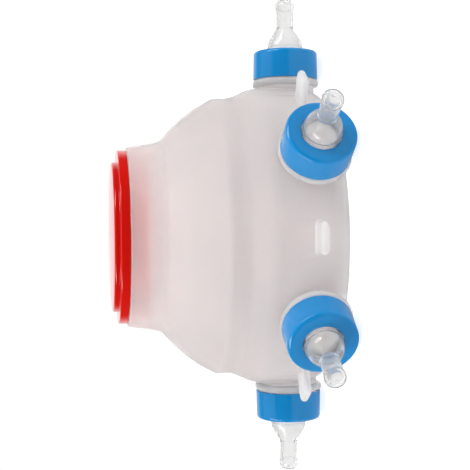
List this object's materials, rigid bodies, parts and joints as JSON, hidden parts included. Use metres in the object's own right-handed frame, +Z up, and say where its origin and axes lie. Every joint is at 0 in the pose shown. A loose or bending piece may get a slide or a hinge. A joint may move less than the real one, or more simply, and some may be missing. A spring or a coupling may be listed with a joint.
{
  "type": "livestock nursing bottle",
  "caption": "Squat translucent drum with screw-capped silicone teats round its lower wall, moulded lugs between them, and a stepped push-in lid in its wide mouth.",
  "frame": {"origin": "centre of the base, on the surface that the drum stands on", "axes": "+Z up along the drum's axis to the lid, +X along the first teat, +Y between the second and third teats"},
  "size_m": [0.3108, 0.2734, 0.1388],
  "materials": {
    "vessel_plastic": "satin translucent",
    "lid_red": "gloss",
    "cap_blue": "semi gloss",
    "clear_silicone": "clear"
  },
  "bodies": {
    "vessel": {"vessel": "vessel_plastic"},
    "lid": {"lid": "lid_red"},
    "teat_1": {"teat_1": "clear_silicone"},
    "cap_1": {"cap_1": "cap_blue"},
    "teat_2": {"teat_2": "clear_silicone"},
    "cap_2": {"cap_2": "cap_blue"},
    "teat_3": {"teat_3": "clear_silicone"},
    "cap_3": {"cap_3": "cap_blue"},
    "teat_4": {"teat_4": "clear_silicone"},
    "cap_4": {"cap_4": "cap_blue"},
    "teat_5": {"teat_5": "clear_silicone"},
    "cap_5": {"cap_5": "cap_blue"},
    "teat_6": {"teat_6": "clear_silicone"},
    "cap_6": {"cap_6": "cap_blue"}
  },
  "joints": [
    {"name": "lid_lift", "type": "slide", "parent": "vessel", "child": "lid", "axis": [0, 0, 1], "range_m": [0, 0.06]},
    {"name": "teat_1_lift", "type": "slide", "parent": "vessel", "child": "teat_1", "axis": [1, 0, 0], "range_m": [0, 0.006]},
    {"name": "cap_1_turn", "type": "hinge", "parent": "teat_1", "child": "cap_1", "pos_m": [0, 0, 0.0223], "axis": [1, 0, 0], "range_deg": [0, 540]},
    {"name": "teat_2_lift", "type": "slide", "parent": "vessel", "child": "teat_2", "axis": [0.5, 0.866, 0], "range_m": [0, 0.006]},
    {"name": "cap_2_turn", "type": "hinge", "parent": "teat_2", "child": "cap_2", "pos_m": [0, 0, 0.0223], "axis": [0.5, 0.866, 0], "range_deg": [0, 540]},
    {"name": "teat_3_lift", "type": "slide", "parent": "vessel", "child": "teat_3", "axis": [-0.5, 0.866, 0], "range_m": [0, 0.006]},
    {"name": "cap_3_turn", "type": "hinge", "parent": "teat_3", "child": "cap_3", "pos_m": [0, 0, 0.0223], "axis": [-0.5, 0.866, 0], "range_deg": [0, 540]},
    {"name": "teat_4_lift", "type": "slide", "parent": "vessel", "child": "teat_4", "axis": [-1, 0, 0], "range_m": [0, 0.006]},
    {"name": "cap_4_turn", "type": "hinge", "parent": "teat_4", "child": "cap_4", "pos_m": [0, 0, 0.0223], "axis": [-1, 0, 0], "range_deg": [0, 540]},
    {"name": "teat_5_lift", "type": "slide", "parent": "vessel", "child": "teat_5", "axis": [-0.5, -0.866, 0], "range_m": [0, 0.006]},
    {"name": "cap_5_turn", "type": "hinge", "parent": "teat_5", "child": "cap_5", "pos_m": [0, 0, 0.0223], "axis": [-0.5, -0.866, 0], "range_deg": [0, 540]},
    {"name": "teat_6_lift", "type": "slide", "parent": "vessel", "child": "teat_6", "axis": [0.5, -0.866, 0], "range_m": [0, 0.006]},
    {"name": "cap_6_turn", "type": "hinge", "parent": "teat_6", "child": "cap_6", "pos_m": [0, 0, 0.0223], "axis": [0.5, -0.866, 0], "range_deg": [0, 540]}
  ],
  "couplings": [
    {"joint": "teat_1_lift", "follows": "cap_1_turn", "m_per_rad": 0.0006366},
    {"joint": "teat_2_lift", "follows": "cap_2_turn", "m_per_rad": 0.0006366},
    {"joint": "teat_3_lift", "follows": "cap_3_turn", "m_per_rad": 0.0006366},
    {"joint": "teat_4_lift", "follows": "cap_4_turn", "m_per_rad": 0.0006366},
    {"joint": "teat_5_lift", "follows": "cap_5_turn", "m_per_rad": 0.0006366},
    {"joint": "teat_6_lift", "follows": "cap_6_turn", "m_per_rad": 0.0006366}
  ]
}
